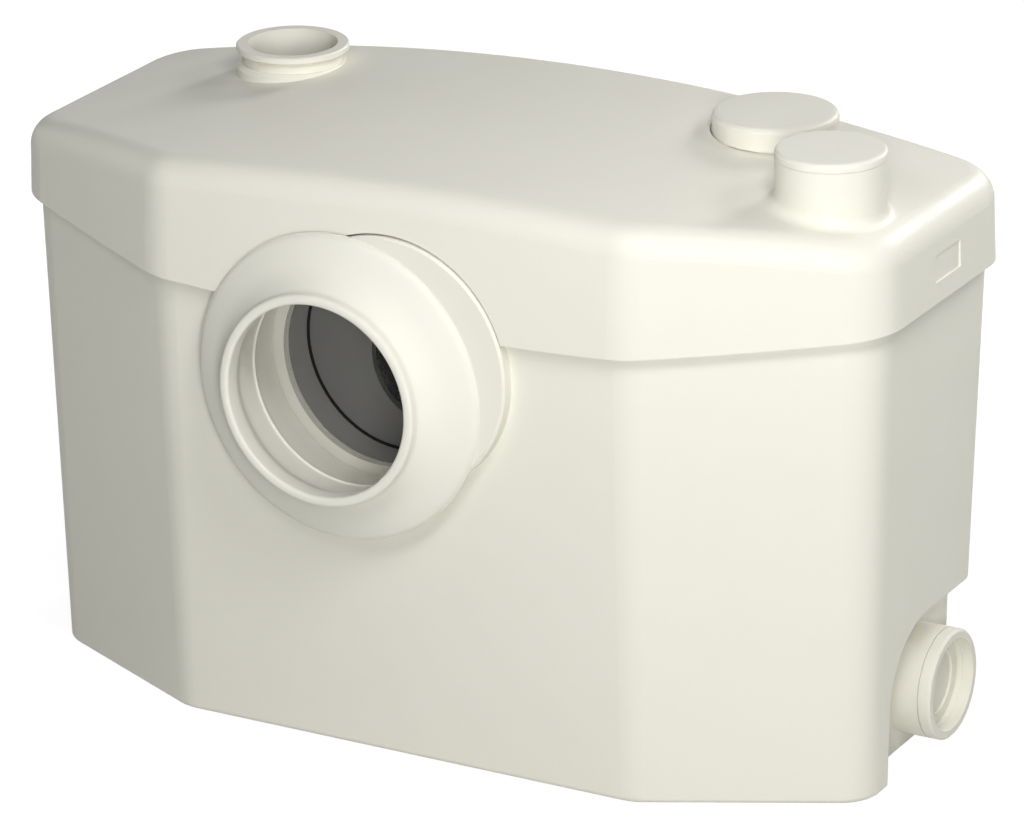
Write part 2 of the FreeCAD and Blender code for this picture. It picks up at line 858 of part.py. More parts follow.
def make_pump_body():
    outlet_start = V(shaft_x - outlet_reach, outlet_y, shaft_z - outlet_drop)
    boss_radius = outlet_bore_r + outlet_wall
    boss = cylinder(boss_radius, outlet_reach, outlet_start, X)
    body = fuse_all([pump_body_outline(), boss])
    cavity = cylinder(volute_r, volute_depth,
                      V(shaft_x - volute_shift, volute_y, shaft_z - volute_shift), Y)
    outlet = cylinder(outlet_bore_r, outlet_reach, outlet_start - X, X)
    eye = cylinder(eye_r, divider + 2, shaft_centre(divider_y - 1), Y)
    seat = cylinder(seal_r, pump_back + 1, shaft_centre(pump_back_y), Y)
    return body.cut([cavity, outlet, eye, seat])


def make_shaft_seal():
    return tube(seal_r, shaft_r + running_gap, pump_back, shaft_centre(pump_back_y), Y)


def make_impeller():
    top = pump_back_y - impeller_gap
    plate = cylinder(impeller_r, impeller_plate, V(0, top - impeller_plate, 0), Y)
    hub = cylinder(impeller_hub_r, volute_depth - 2 * impeller_gap, V(0, volute_y + impeller_gap, 0), Y)
    vanes = []
    for i in range(vane_count):
        vane = block(-vane_thick / 2, vane_thick / 2, volute_y + impeller_gap, top,
                     0, impeller_r - impeller_hub_r + 6)
        vane.rotate(V(0, 0, 0), Y, vane_lean)
        vane.translate(V(0, 0, impeller_hub_r - 3))
        vane.rotate(V(0, 0, 0), Y, 360.0 * i / vane_count)
        vanes.append(vane)
    wheel = fuse_all([plate, hub] + vanes)
    wheel = wheel.common(cylinder(impeller_r, far, V(0, -far / 2, 0), Y))
    wheel = wheel.cut(cylinder(shaft_nose_r + fit_gap, far, V(0, -far / 2, 0), Y))
    return wheel.translated(shaft_centre(0))


def make_motor_front():
    plate = cylinder(motor_r, motor_front, shaft_centre(motor_y), Y)
    seat = cylinder(bearing_front_r + bearing_seat_wall, bearing_width, shaft_centre(can_y), Y)
    body = plate.fuse(seat).removeSplitter()
    hole = cylinder(shaft_r + 1, far, shaft_centre(-far / 2), Y)
    pocket = cylinder(bearing_front_r, bearing_width + 1, shaft_centre(can_y), Y)
    return body.cut([hole, pocket])


def make_motor_can():
    can = cylinder(motor_r, motor_length, shaft_centre(can_y), Y)
    ribs = []
    for i in range(can_rib_count):
        rib = block(-can_rib_width / 2, can_rib_width / 2, can_y + 3, can_end_y - 3,
                    motor_r - 2, motor_r + can_rib_height)
        rib.rotate(V(0, 0, 0), Y, -110 + 220.0 * i / (can_rib_count - 1))
        ribs.append(rib.translated(shaft_centre(0)))
    can = fuse_all([can] + ribs)
    return can.cut(cylinder(motor_r - can_wall, motor_length, shaft_centre(can_y), Y))


def make_motor_cap():
    plate = cylinder(motor_r, motor_back, shaft_centre(can_end_y), Y)
    plate = plate.makeChamfer(1.5, [e for e in plate.Edges if e.BoundBox.YMin > motor_end_y - 0.01])
    seat = cylinder(bearing_rear_r + bearing_seat_wall, bearing_width,
                    shaft_centre(can_end_y - bearing_width), Y)
    pocket = cylinder(bearing_rear_r, bearing_width, shaft_centre(can_end_y - bearing_width), Y)
    return plate.fuse(seat).removeSplitter().cut(pocket)


def make_bearing(radius, y):
    return tube(radius, shaft_r + running_gap, bearing_width, shaft_centre(y), Y)


def make_rotor():
    start = shaft_centre(can_y + core_from_front)
    return tube(rotor_r, shaft_r + fit_gap, core_length, start, Y)


def make_stator():
    start = shaft_centre(can_y + core_from_front)
    return tube(motor_r - can_wall - 0.1, rotor_r + air_gap, core_length, start, Y)


def make_windings():
    front = can_y + core_from_front - winding_length
    back = can_y + core_from_front + core_length
    rings = [tube(winding_r_out, winding_r_in, winding_length, shaft_centre(y), Y)
             for y in (front, back)]
    return Part.makeCompound(rings)


def cradle_feet():
    y0 = can_y + cradle_from_front + pad_r
    y1 = can_y + cradle_from_front + cradle_width - pad_r
    x = cradle_half + pad_r
    return [V(shaft_x + sx * x, y, tank_floor) for sx in (-1, 1) for y in (y0, y1)]


def make_motor_cradle():
    y0 = can_y + cradle_from_front
    y1 = y0 + cradle_width
    z0 = tank_floor + pad_height
    z1 = shaft_z - motor_r + cradle_top
    body = block(shaft_x - cradle_half, shaft_x + cradle_half, y0, y1, z0, z1)
    flange = block(shaft_x - cradle_half - 2 * pad_r, shaft_x + cradle_half + 2 * pad_r,
                   y0, y1, z0, z0 + cradle_wall / 2)
    body = body.fuse(flange).removeSplitter()
    window = block(shaft_x - cradle_half + cradle_wall, shaft_x + cradle_half - cradle_wall,
                   y0 - 1, y1 + 1, z0 + cradle_wall, shaft_z - motor_r - cradle_wall)
    window = window.makeFillet(12, [e for e in window.Edges if e.BoundBox.YLength > cradle_width])
    bed = cylinder(motor_r + cradle_gap, far, shaft_centre(-far / 2), Y)
    holes = [cylinder(screw_r + fit_gap, 20, foot - Z, Z) for foot in cradle_feet()]
    return body.cut([window, bed] + holes)


def make_motor_pads():
    pads = [tube(pad_r, screw_r + fit_gap, pad_height, foot, Z) for foot in cradle_feet()]
    return Part.makeCompound(pads)


def screw(head_centre, axis, grip):
    """Pan-head screw: its head stands on head_centre, its shank runs against the axis."""
    head = cylinder(screw_head_r, screw_head, head_centre, axis)
    head = head.makeChamfer(0.6, [head.Edges[0]])
    return head.fuse(cylinder(screw_r, grip, head_centre - axis * grip, axis)).removeSplitter()


def make_cradle_screws():
    head_z = tank_floor + pad_height + cradle_wall / 2
    grip = pad_height + cradle_wall / 2 - fit_gap
    screws = [screw(V(foot.x, foot.y, head_z), Z, grip) for foot in cradle_feet()]
    return Part.makeCompound(screws)


def make_discharge_pipe():
    y0 = outlet_y
    z0 = shaft_z - outlet_drop
    start = V(shaft_x - outlet_reach + pipe_overlap, y0, z0)
    turn_a = V(socket_x, y0, z0)
    turn_b = V(socket_x, socket_y, z0)
    end = V(socket_x, socket_y, valve_z)
    corners = [start, turn_a, turn_b, end]
    edges = []
    last = start
    for before, corner, after in zip(corners[:-2], corners[1:-1], corners[2:]):
        u = (corner - before).normalize()
        v = (after - corner).normalize()
        a = corner - u * pipe_bend_r
        b = corner + v * pipe_bend_r
        centre = corner - u * pipe_bend_r + v * pipe_bend_r
        middle = centre + (corner - centre).normalize() * pipe_bend_r
        edges.append(Part.LineSegment(last, a).toShape())
        edges.append(Part.Arc(a, middle, b).toShape())
        last = b
    edges.append(Part.LineSegment(last, end).toShape())
    path = Part.Wire(edges)
    solids = []
    for radius in (pipe_r, pipe_r - pipe_wall):
        ring = Part.Wire([Part.makeCircle(radius, start, X)])
        solids.append(path.makePipeShell([ring], True, False))
    pipe = solids[0].cut(solids[1])
    collar_ring = tube(pipe_r + 2.5, pipe_r - pipe_wall, 4, end - Z * 4, Z)
    return pipe.fuse(collar_ring).removeSplitter()


def socket_centre(z):
    return V(socket_x, socket_y, z)


flap_pin = V(socket_x, socket_y + flap_pin_back, flap_pin_z)


def make_valve_body():
    body = cylinder(valve_r, valve_top_z - valve_z, socket_centre(valve_z), Z)
    spigot = cylinder(spigot_r, spigot_top_z - valve_top_z, socket_centre(valve_top_z), Z)
    body = body.fuse(spigot).removeSplitter()
    seat_hole = cylinder(valve_seat_hole_r, valve_seat + 2, socket_centre(valve_z - 1), Z)
    chamber = cylinder(valve_r - valve_wall, valve_top_z - valve_z - valve_seat - 3,
                       socket_centre(valve_z + valve_seat), Z)
    outlet = cylinder(spigot_r - spigot_wall - 1, far, socket_centre(valve_top_z - 4), Z)
    groove = tube(spigot_r + 1, spigot_r - seal_groove, oring, socket_centre(spigot_top_z - 6), Z)
    pin_hole = cylinder(flap_pin_r + running_gap, 2 * flap_pin_half + 0.4,
                        flap_pin - X * (flap_pin_half + 0.2), X)
    return body.cut([seat_hole, chamber, outlet, groove, pin_hole])


def make_outlet_seal():
    return tube(spigot_cup_r - oring_gap, spigot_r - seal_groove, oring,
                socket_centre(spigot_top_z - 6), Z)


def make_check_flap():
    disc = cylinder(flap_r, flap_thick, socket_centre(flap_z), Z)
    arm = block(socket_x - flap_arm_half, socket_x + flap_arm_half, socket_y, flap_pin.y,
                flap_z, flap_z + flap_thick)
    knuckle = cylinder(flap_knuckle_r, 2 * flap_knuckle_half, flap_pin - X * flap_knuckle_half, X)
    flap = fuse_all([disc, arm, knuckle])
    return flap.cut(cylinder(flap_pin_r + fit_gap, far, flap_pin - X * (far / 2), X))


def make_check_flap_pin():
    return cylinder(flap_pin_r, 2 * flap_pin_half, flap_pin - X * flap_pin_half, X)


def make_blanking_cap():
    top_z = stub_top_z + cap_gap
    cap_r = stub_r + cap_overhang
    height = cap_thick - cap_gap
    points = [V(0, 0, 0), V(cap_r, 0, 0)] + round_corner(cap_r, height, cap_edge_r) + [V(0, 0, height)]
    top = turned(points).translated(V(stub_x, stub_y, top_z))
    plug_r = stub_bore_r - plug_gap
    start = V(stub_x, stub_y, stub_top_z - cap_plug_depth)
    skirt = tube(plug_r, plug_r - plug_wall, cap_plug_depth + cap_gap, start, Z)
    groove = tube(plug_r + 1, plug_r - seal_groove, oring, start + Z * 2, Z)
    return top.fuse(skirt).removeSplitter().cut(groove)


def make_blanking_cap_seal():
    plug_r = stub_bore_r - plug_gap
    start = V(stub_x, stub_y, stub_top_z - cap_plug_depth + 2)
    return tube(stub_bore_r - oring_gap, plug_r - seal_groove, oring, start, Z)


def make_vent_cap():
    z0 = vent_pad_z + vent_cap_gap
    z1 = z0 + vent_cap_side
    apex = z1 + vent_cap_dome
    under = z1 - vent_cap_wall
    stem_z = vent_well_floor_z + vent_stem_gap
    top = round_corner(vent_cap_r, z1, vent_cap_edge_r)
    crown_r = vent_cap_r - vent_cap_edge_r
    for share in (0.75, 0.5, 0.25, 0):
        top.append(V(crown_r * share, 0, apex - vent_cap_dome * share ** 2))
    points = top + [V(0, 0, stem_z), V(vent_stem_r, 0, stem_z), V(vent_stem_r, 0, under),
                    V(vent_cap_r - vent_cap_wall, 0, under), V(vent_cap_r - vent_cap_wall, 0, z0),
                    V(vent_cap_r, 0, z0)]
    cap = turned(points)
    ribs = []
    for i in range(3):
        rib = block(vent_stem_r - 1, vent_pad_r - 0.4, -1, 1, vent_pad_z + vent_rib_gap, under + 0.5)
        rib.rotate(V(0, 0, 0), Z, 120.0 * i + 30)
        ribs.append(rib)
    return fuse_all([cap] + ribs).translated(V(vent_x, vent_y, 0))


def make_vent_filter():
    start = V(vent_x, vent_y, vent_well_floor_z)
    return tube(vent_well_r - filter_gap, vent_stem_r + filter_gap + 0.2, filter_height, start, Z)


def side_centre(x):
    return V(x, side_y, side_z)


def make_side_ring():
    ring = cylinder(side_r, side_ring_length, side_centre(side_ring_x), X)
    end = [e for e in ring.Edges if e.BoundBox.XMin > side_ring_x + 1]
    ring = ring.makeChamfer(side_ring_edge, end)
    return ring.cut(cylinder(side_ring_bore_r, far, side_centre(side_ring_x - 1), X))


def make_side_plug():
    plug_r = side_bore_r - plug_gap
    start = side_plug_face_x - side_plug_depth
    body = cylinder(plug_r, side_plug_depth, side_centre(start), X)
    hollow = cylinder(plug_r - plug_wall, side_plug_depth - side_plug_face, side_centre(start), X)
    groove = tube(plug_r + 1, plug_r - seal_groove, oring, side_centre(start + 2.2), X)
    dish = cylinder(side_plug_dish_r, side_plug_dish, side_centre(side_plug_face_x - side_plug_dish), X)
    return body.cut([hollow, groove, dish])


def make_side_plug_seal():
    plug_r = side_bore_r - plug_gap
    start = side_plug_face_x - side_plug_depth + 2.2
    return tube(side_bore_r - oring_gap, plug_r - seal_groove, oring, side_centre(start), X)


def make_side_flap():
    face_x = recess_x - tank_wall - side_flap_gap
    disc = cylinder(side_flap_r, side_flap_thick, side_centre(face_x - side_flap_thick), X)
    arm = block(face_x - side_flap_thick, face_x, side_y - side_knuckle_half / 2,
                side_y + side_knuckle_half / 2, side_z, side_pin.z)
    knuckle = cylinder(flap_knuckle_r, 2 * side_knuckle_half, side_pin - Y * side_knuckle_half, Y)
    flap = fuse_all([disc, arm, knuckle])
    return flap.cut(cylinder(flap_pin_r + fit_gap, far, side_pin - Y * (far / 2), Y))


def make_side_flap_pin():
    return cylinder(flap_pin_r, 2 * side_pin_half, side_pin - Y * side_pin_half, Y)


def sense_centre(z):
    return V(sense_x, sense_y, z)


def make_pressure_tube():
    z0 = tank_floor + sense_foot
    body = cylinder(sense_r, sense_height, sense_centre(z0), Z)
    flange = cylinder(sense_flange_r, sense_flange, sense_centre(sense_top_z - sense_flange), Z)
    feet = []
    for i in range(3):
        foot = block(sense_r - sense_wall, sense_r + 4, -3, 3, tank_floor, z0 + 20)
        foot.rotate(V(0, 0, 0), Z, 120.0 * i)
        feet.append(foot.translated(sense_centre(0)))
    tube_body = fuse_all([body, flange] + feet)
    return tube_body.cut(cylinder(sense_r - sense_wall, far, sense_centre(z0 - 1), Z))


def make_diaphragm():
    return cylinder(sense_flange_r, diaphragm_thick, sense_centre(sense_top_z), Z)


def make_switch_cup():
    return tube(sense_flange_r, sense_flange_r - switch_cup_wall, switch_cup,
                sense_centre(switch_z), Z)


def make_switch_plunger():
    plate = cylinder(plunger_r, plunger_thick, sense_centre(plunger_z), Z)
    stem_z = plunger_z + plunger_thick
    stem = cylinder(stem_r, stem_height, sense_centre(stem_z), Z)
    tip = Part.makeCone(stem_r, stem_tip_r, stem_tip, sense_centre(stem_z + stem_height), Z)
    return fuse_all([plate, stem, tip])


def make_microswitch():
    half = switch_width / 2
    pivot_x = sense_x + lever_pivot_x
    body = block(sense_x + lever_pivot_x + 2 - switch_length, pivot_x + 2,
                 sense_y - half, sense_y + half, switch_body_z, cover_z)
    ears = hinge_ears(V(pivot_x, sense_y, pivot_z), lever_width / 2 + 0.3, half - lever_width / 2 - 0.3,
                      pivot_x - 2, pivot_x + 2, pivot_z - 2, switch_body_z + 0.5)
    return fuse_all([body] + ears)


def make_switch_lever():
    pivot = V(sense_x + lever_pivot_x, sense_y, pivot_z)
    half = lever_width / 2
    strip = block(pivot.x - lever_reach, pivot.x, sense_y - half, sense_y + half,
                  lever_z, lever_z + lever_thick)
    riser = block(pivot.x - lever_thick, pivot.x, sense_y - half, sense_y + half, lever_z, pivot.z)
    pin = cylinder(flap_pin_r, switch_width, pivot - Y * (switch_width / 2), Y)
    return fuse_all([strip, riser, pin])


def make_switch_cover():
    cover = cylinder(sense_flange_r, cover_thick, sense_centre(cover_z), Z)
    return cover.makeChamfer(1.0, [e for e in cover.Edges if e.BoundBox.ZMin > cover_z + 1])


def make_capacitor_holder():
    body = cylinder(capacitor_r + holder_wall + fit_gap, holder_height,
                    V(capacitor_x, capacitor_y, tank_floor), Z)
    pocket = cylinder(capacitor_r + fit_gap, far, V(capacitor_x, capacitor_y, tank_floor + holder_floor), Z)
    return body.cut(pocket)


def make_capacitor():
    foot = V(capacitor_x, capacitor_y, tank_floor + holder_floor)
    body = cylinder(capacitor_r, capacitor_height, foot, Z)
    top = [e for e in body.Edges if e.BoundBox.ZMin > tank_floor + capacitor_height]
    body = body.makeChamfer(1.2, top)
    tabs = []
    for side in (-1, 1):
        x = capacitor_x + side * 6
        z = tank_floor + holder_floor + capacitor_height
        tabs.append(block(x - 0.4, x + 0.4, capacitor_y - 3, capacitor_y + 3, z - 0.5, z + 8))
    return fuse_all([body] + tabs)


def make_cable_gland():
    wall_x = -tank_half_width - gland_pad_out
    head = cylinder(gland_r, gland_length, V(wall_x - gland_length, gland_y, gland_z), X)
    head = head.makeChamfer(1.2, [e for e in head.Edges if e.BoundBox.XMax < wall_x - 2])
    points = []
    for i in range(6):
        turn = math.pi / 3 * i
        points.append(V(wall_x - gland_nut, gland_y + gland_hex * math.cos(turn),
                        gland_z + gland_hex * math.sin(turn)))
    collar_hex = polygon_face(points).extrude(X * gland_nut)
    thread = cylinder(gland_thread_r, gland_pad_out - gland_pad_in + gland_nut + 1.5,
                      V(wall_x - 0.5, gland_y, gland_z), X)
    bore = cylinder(gland_bore_r, far, V(wall_x - far / 2, gland_y, gland_z), X)
    passage = cylinder(gland_passage_r, far, V(wall_x - gland_length + gland_grip, gland_y, gland_z), X)
    return fuse_all([head, collar_hex, thread]).cut([bore, passage])


def make_gland_nut():
    wall_x = -tank_half_width - gland_pad_in
    points = []
    for i in range(6):
        turn = math.pi / 3 * i
        points.append(V(wall_x, gland_y + gland_hex * math.cos(turn),
                        gland_z + gland_hex * math.sin(turn)))
    nut = polygon_face(points).extrude(X * gland_nut)
    return nut.cut(cylinder(gland_thread_r + fit_gap, far, V(wall_x - far / 2, gland_y, gland_z), X))


PARTS = {
    "tank": make_tank,
    "lid": make_lid,
    "lid_seal": make_lid_seal,
    "inlet_collar": make_inlet_collar,
    "inlet_ring": make_inlet_ring,
    "chamber_rim": make_chamber_rim,
    "inlet_seal": make_inlet_seal,
    "chamber_plate": make_chamber_plate,
    "macerator_basket": make_basket,
    "cutter_blade": make_cutter_blade,
    "cutter_nut": make_cutter_nut,
    "shaft": make_shaft,
    "pump_cover": make_pump_cover,
    "pump_body": make_pump_body,
    "impeller": make_impeller,
    "shaft_seal": make_shaft_seal,
    "motor_front": make_motor_front,
    "motor_can": make_motor_can,
    "motor_cap": make_motor_cap,
    "bearing_front": lambda: make_bearing(bearing_front_r, can_y),
    "bearing_rear": lambda: make_bearing(bearing_rear_r, can_end_y - bearing_width),
    "rotor": make_rotor,
    "stator": make_stator,
    "windings": make_windings,
    "motor_cradle": make_motor_cradle,
    "motor_pads": make_motor_pads,
    "cradle_screws": make_cradle_screws,
    "discharge_pipe": make_discharge_pipe,
    "valve_body": make_valve_body,
    "check_flap": make_check_flap,
    "check_flap_pin": make_check_flap_pin,
    "outlet_seal": make_outlet_seal,
    "blanking_cap": make_blanking_cap,
    "blanking_cap_seal": make_blanking_cap_seal,
    "vent_cap": make_vent_cap,
    "vent_filter": make_vent_filter,
    "side_ring": make_side_ring,
    "side_plug": make_side_plug,
    "side_plug_seal": make_side_plug_seal,
    "side_flap": make_side_flap,
    "side_flap_pin": make_side_flap_pin,
    "pressure_tube": make_pressure_tube,
    "diaphragm": make_diaphragm,
    "switch_cup": make_switch_cup,
    "switch_plunger": make_switch_plunger,
    "microswitch": make_microswitch,
    "switch_lever": make_switch_lever,
    "switch_cover": make_switch_cover,
    "capacitor_holder": make_capacitor_holder,
    "capacitor": make_capacitor,
    "cable_gland": make_cable_gland,
    "gland_nut": make_gland_nut,
}

os.makedirs("parts", exist_ok=True)
for name, make in PARTS.items():
    shape = make()
    solids = shape.Solids
    print(name, "solids", len(solids), "valid", shape.isValid(), "volume", round(shape.Volume, 1))
    shape.exportStep("parts/" + name + ".step")
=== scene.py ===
import json
import math

import bmesh
import bpy
from mathutils import Matrix, Vector


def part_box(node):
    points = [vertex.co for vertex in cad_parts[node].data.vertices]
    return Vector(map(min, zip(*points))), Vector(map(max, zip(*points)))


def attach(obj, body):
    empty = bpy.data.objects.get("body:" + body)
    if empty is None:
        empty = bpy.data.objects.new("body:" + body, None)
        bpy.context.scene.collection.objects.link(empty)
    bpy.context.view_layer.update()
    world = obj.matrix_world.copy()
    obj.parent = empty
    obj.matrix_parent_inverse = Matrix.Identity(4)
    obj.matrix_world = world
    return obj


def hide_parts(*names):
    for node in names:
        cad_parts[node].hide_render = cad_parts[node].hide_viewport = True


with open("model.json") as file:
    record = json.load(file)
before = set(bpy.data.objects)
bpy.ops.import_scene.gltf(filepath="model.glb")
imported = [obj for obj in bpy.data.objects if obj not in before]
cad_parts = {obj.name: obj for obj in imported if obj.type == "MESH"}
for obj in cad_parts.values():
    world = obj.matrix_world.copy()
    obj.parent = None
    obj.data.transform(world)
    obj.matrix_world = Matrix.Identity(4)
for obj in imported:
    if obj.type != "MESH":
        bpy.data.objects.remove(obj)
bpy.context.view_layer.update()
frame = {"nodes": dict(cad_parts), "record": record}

nodes = frame["nodes"]

# Metres. X to the right, Y towards the wall, Z up, as in the frame.

# Camera: where it stands and how it is turned, fitted to the photographed view
camera_place = Vector((1.23305, -2.16216, 1.08819))
camera_right = Vector((0.8741, 0.48551, -0.01487))
camera_up = Vector((-0.16157, 0.31948, 0.93372))
camera_back = Vector((0.45808, -0.81376, 0.35771))
lens_mm = 211.403
sensor_mm = 36.0
clip_near = 0.05
clip_far = 30.0

# Lamps round the object: azimuth from -Y towards +X and height angle in degrees, distance, watts
lamp_aim = Vector((0.0, 0.0, 0.14))
lamps = {
    "key": (46, 48, 1.0, 11.0),
    "front": (14, 42, 1.0, 5.8),
    "low_front": (31, 15, 2.0, 73.0),
    "left_fill": (-35, 50, 1.0, 0.4),
    "right_side": (112, 42, 1.0, 5.0),
    "back": (165, 25, 2.0, 64.0),
    "back_left": (-105, 10, 2.0, 12.0),
}
lamp_size = 0.14  # radius for each metre of distance
ambient_colour = (0.955, 1.0, 0.965, 1.0)
ambient_level = 0.02

# Floor: half its side, its glow near the object and far from it, the distances between which the
# glow changes, its tone for the camera and its tone for other light
floor_half = 3.0
floor_glow_near = 0.93
floor_glow_far = 1.0
floor_near = 0.30
floor_far = 0.75
floor_albedo = 0.16
floor_bounce = (0.60, 0.605, 0.58, 1.0)

# Colours, linear
ivory = (0.815, 0.800, 0.712)
rubber_ivory = (0.822, 0.809, 0.726)
pale_grey = (0.62, 0.61, 0.55)
band_grey = (0.270, 0.266, 0.254)
plate_grey = (0.150, 0.149, 0.147)
charcoal = (0.045, 0.045, 0.047)
black = (0.016, 0.016, 0.017)
rubber_black = (0.013, 0.013, 0.013)
steel = (0.60, 0.60, 0.585)
cast_metal = (0.46, 0.47, 0.48)
sheet_iron = (0.24, 0.245, 0.25)
copper_wire = (0.52, 0.20, 0.07)
case_grey = (0.58, 0.58, 0.56)
foam_black = (0.022, 0.022, 0.024)

# Moulded materials: colour, range of roughness, grain (scale, strength, depth), drift of the colour,
# and where they differ from the usual the specular level and the sheen
moulds = {
    "ivory_plastic": (ivory, (0.42, 0.50), (1400.0, 0.035, 0.00012), 0.010, 0.28),
    "ivory_rubber": (rubber_ivory, (0.60, 0.70), (1100.0, 0.05, 0.00015), 0.012, 0.22, 0.05),
    "pale_plastic": (pale_grey, (0.45, 0.55), (1400.0, 0.035, 0.00012), 0.02),
    "grey_plastic": (plate_grey, (0.42, 0.56), (700.0, 0.10, 0.0002), 0.05),
    "band_plastic": (band_grey, (0.40, 0.52), (700.0, 0.08, 0.0002), 0.04),
    "dark_plastic": (charcoal, (0.42, 0.56), (500.0, 0.12, 0.0003), 0.08, 0.3),
    "black_plastic": (black, (0.38, 0.52), (800.0, 0.14, 0.0002), 0.08, 0.3),
    "black_rubber": (rubber_black, (0.60, 0.75), (600.0, 0.12, 0.0003), 0.10, 0.15),
    "capacitor_case": (case_grey, (0.38, 0.48), (1400.0, 0.035, 0.00012), 0.02),
}
drift_scale = 9.0
gloss_scale = 26.0
sheen_rough = 0.4

# Bare metals: colour, range of roughness, stretch of the marks, their scale and strength
metals = {
    "stainless": (steel, (0.18, 0.38), (1.0, 0.06, 1.0), 900.0, 0.12),
    "motor_metal": (cast_metal, (0.42, 0.62), (1.0, 1.0, 1.0), 420.0, 0.35),
}
metal_drift = 0.06
metal_drift_scale = 14.0
mark_depth = 0.0003

# Fine patterns: how close the iron sheets, the wire and the foam's cells lie, and how deep they look
sheet_scale = 240.0
sheet_depth = 0.0003
wire_scale = 330.0
wire_depth = 0.0006
wire_metallic = 0.6
wire_coat = 0.5
cell_scale = 520.0
cell_depth = 0.0012

# Patterned materials: colour, its drift (scale, spread), range of roughness and its scale, and
# strength of the pattern
patterned = {
    "laminations": (sheet_iron, (30.0, 0.10), (0.42, 0.58, 60.0), 0.5),
    "copper": (copper_wire, (40.0, 0.12), (0.24, 0.36, 80.0), 0.7),
    "filter_foam": (foam_black, (60.0, 0.25), (0.85, 0.98, 60.0), 0.9),
}

# Inlet collar: insets from the edge of its flange, and depths behind the front edge of its mouth
collar_steps = 72
mouth_out_inset = 0.0218
mouth_in_inset = 0.0264
lip_depth = 0.006
neck_depth = 0.0052
flange_back_depth = 0.0204
flange_rim = 0.0014
flange_round = 0.005
flange_fall = 0.55
cone_sag = 0.0012
cone_steps = 8

# Rings behind the flange, measured from the end of the sleeve and from the flange
end_ring = 0.004
flange_ring = 0.002

# Roundings of the collar's edges: radius and number of steps
root_round = (0.0006, 2)
flange_back_round = (0.0005, 2)
flange_front_round = (0.0030, 5)
neck_round = (0.0014, 3)
lip_out_round = (0.0021, 5)
lip_in_round = (0.0018, 5)

# Inside of the mouth, from its lip to the sleeve: how much wider than the mouth, and how deep
throat = [
    (0.0, 0.0074), (0.0006, 0.0094), (0.0018, 0.0122), (0.0031, 0.0144), (0.0040, 0.0180),
    (0.0054, 0.0292), (0.0050, 0.0300), (0.0046, 0.0305), (0.0046, 0.0315), (0.0066, 0.0329),
    (0.0072, 0.0345),
]

# Back end of the throat: how much wider than the mouth, and a slightly narrower ring before it
throat_end = 0.0093
throat_end_taper = 0.0001
throat_end_ring = 0.002

# Screws of the switch cover; their levels are shares of the head's radius and height
screw_count = 4
screw_circle = 0.0262
screw_first = 45.0
screw_sides = 24
screw_head = 0.0030
screw_height = 0.0018
screw_levels = [(1.0, 0.0), (1.0, 0.45), (0.86, 0.85), (0.72, 1.0)]
screw_cross = 0.0036
screw_cross_width = 0.0009
screw_cross_depth = 0.0010
screw_cross_taper = 0.9


def add(tree, kind, settings=None, **inputs):
    """A node with its settings; each input is a value, or a socket to link from."""
    made = tree.nodes.new(kind)
    for key, value in (settings or {}).items():
        setattr(made, key, value)
    for key, value in inputs.items():
        socket = made.inputs[key.replace("_", " ")]
        if isinstance(value, bpy.types.NodeSocket):
            tree.links.new(value, socket)
        else:
            socket.default_value = value
    return made


def shade(colour, factor):
    """The colour made lighter or darker, with full opacity."""
    return tuple(min(c * factor, 1.0) for c in colour) + (1.0,)


def surface(name):
    """An empty material with its shader, its output and the object's own coordinates."""
    material = bpy.data.materials.new(name)
    material.use_nodes = True
    tree = material.node_tree
    tree.nodes.clear()
    shader = add(tree, "ShaderNodeBsdfPrincipled")
    output = add(tree, "ShaderNodeOutputMaterial")
    tree.links.new(shader.outputs["BSDF"], output.inputs["Surface"])
    place = add(tree, "ShaderNodeTexCoord").outputs["Object"]
    return material, tree, shader, place


def tinted(tree, shader, place, colour, scale, spread):
    """Colour that drifts a little lighter and darker over the surface."""
    cloud = add(tree, "ShaderNodeTexNoise", Vector=place, Scale=scale, Detail=4.0, Roughness=0.55)
    ramp = add(tree, "ShaderNodeValToRGB", Fac=cloud.outputs["Fac"])
    ramp.color_ramp.elements[0].position = 0.3
    ramp.color_ramp.elements[0].color = shade(colour, 1.0 - spread)
    ramp.color_ramp.elements[1].position = 0.7
    ramp.color_ramp.elements[1].color = shade(colour, 1.0 + spread)
    tree.links.new(ramp.outputs["Color"], shader.inputs["Base Color"])


def uneven(tree, shader, place, low, high, scale):
    """Roughness that varies between two values."""
    patch = add(tree, "ShaderNodeTexNoise", Vector=place, Scale=scale, Detail=3.0)
    span = add(tree, "ShaderNodeMapRange", Value=patch.outputs["Fac"], From_Min=0.3, From_Max=0.7,
               To_Min=low, To_Max=high)
    tree.links.new(span.outputs["Result"], shader.inputs["Roughness"])


def grained(tree, shader, height, strength, distance):
    """Bump from a pattern of heights."""
    bump = add(tree, "ShaderNodeBump", Strength=strength, Distance=distance, Height=height)
    tree.links.new(bump.outputs["Normal"], shader.inputs["Normal"])


def moulded(name, colour, rough, grain, drift=0.012, specular=0.5, sheen=0.0):
    """Moulded plastic or rubber: faint drift of colour, uneven gloss and a fine mould grain."""
    material, tree, shader, place = surface(name)
    tinted(tree, shader, place, colour, drift_scale, drift)
    uneven(tree, shader, place, rough[0], rough[1], gloss_scale)
    fine = add(tree, "ShaderNodeTexNoise", Vector=place, Scale=grain[0], Detail=2.0)
    grained(tree, shader, fine.outputs["Fac"], grain[1], grain[2])
    shader.inputs["Specular IOR Level"].default_value = specular
    if sheen:
        shader.inputs["Sheen Weight"].default_value = sheen
        shader.inputs["Sheen Roughness"].default_value = sheen_rough
    return material


